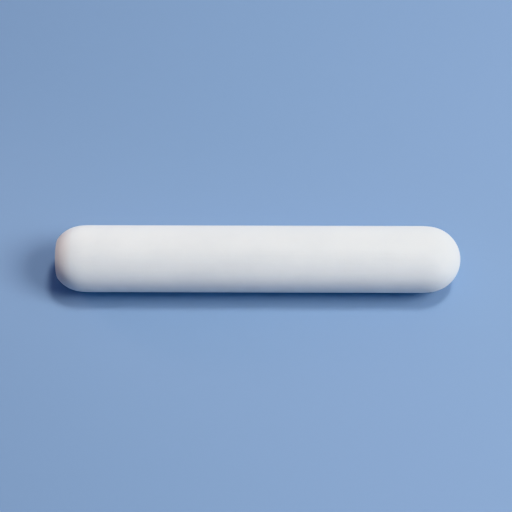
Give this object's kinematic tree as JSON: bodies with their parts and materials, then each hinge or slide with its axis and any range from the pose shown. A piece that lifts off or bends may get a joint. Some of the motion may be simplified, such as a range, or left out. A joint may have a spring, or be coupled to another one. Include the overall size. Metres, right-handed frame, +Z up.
{
  "type": "magnetic stir bar",
  "caption": "Plain white round bar with a hemispherical end and a blunt end; a magnet sealed inside lets a magnetic stirrer spin it in a liquid to mix it.",
  "frame": {"origin": "centre of the bar, on its axis and halfway between its tips", "axes": "+X along the bar towards its hemispherical end, +Z up with the bar lying level, +Y across it"},
  "size_m": [0.06, 0.01, 0.01],
  "materials": {
    "white_jacket": "satin",
    "magnet_alloy": "satin"
  },
  "bodies": {
    "root": {"ptfe_jacket": "white_jacket", "magnet_core": "magnet_alloy"}
  },
  "joints": []
}
